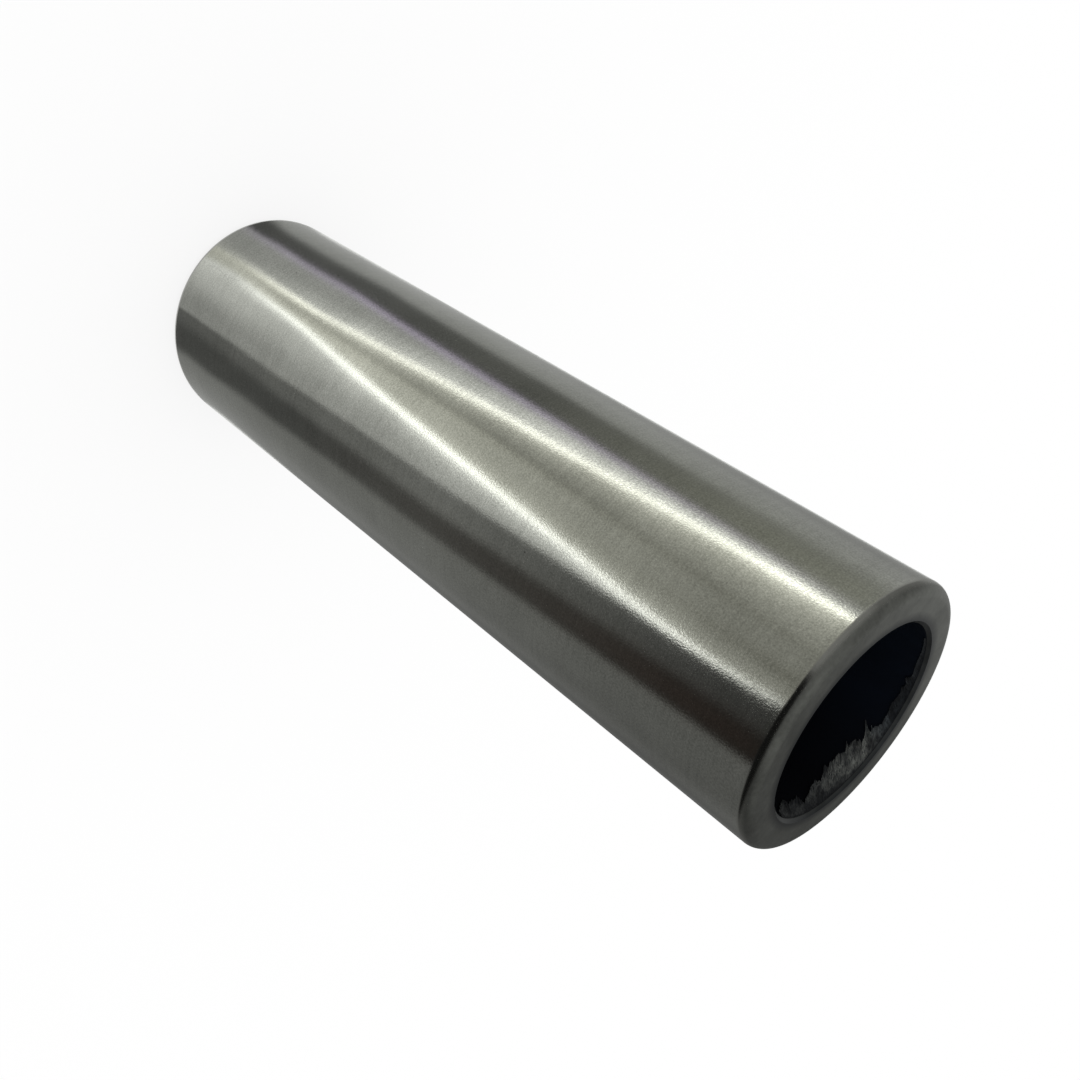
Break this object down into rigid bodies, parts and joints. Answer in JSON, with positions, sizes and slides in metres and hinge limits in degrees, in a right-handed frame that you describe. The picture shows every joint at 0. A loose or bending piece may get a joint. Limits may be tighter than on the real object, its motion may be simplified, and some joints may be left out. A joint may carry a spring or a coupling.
{
  "type": "gudgeon pin",
  "caption": "Hollow cylindrical steel gudgeon pin, ground outside with rounded end edges and a plain through bore, that links a piston to its connecting rod.",
  "frame": {"origin": "centre of the lower end face, on the pin's axis", "axes": "+Z along the pin's axis, from the lower end face to the upper one"},
  "size_m": [0.018, 0.018, 0.063],
  "materials": {
    "ground_steel": "fine ground and polished outside, matte turned end faces, dark scale in the bore"
  },
  "bodies": {
    "root": {"gudgeon_pin": "ground_steel"}
  },
  "joints": []
}
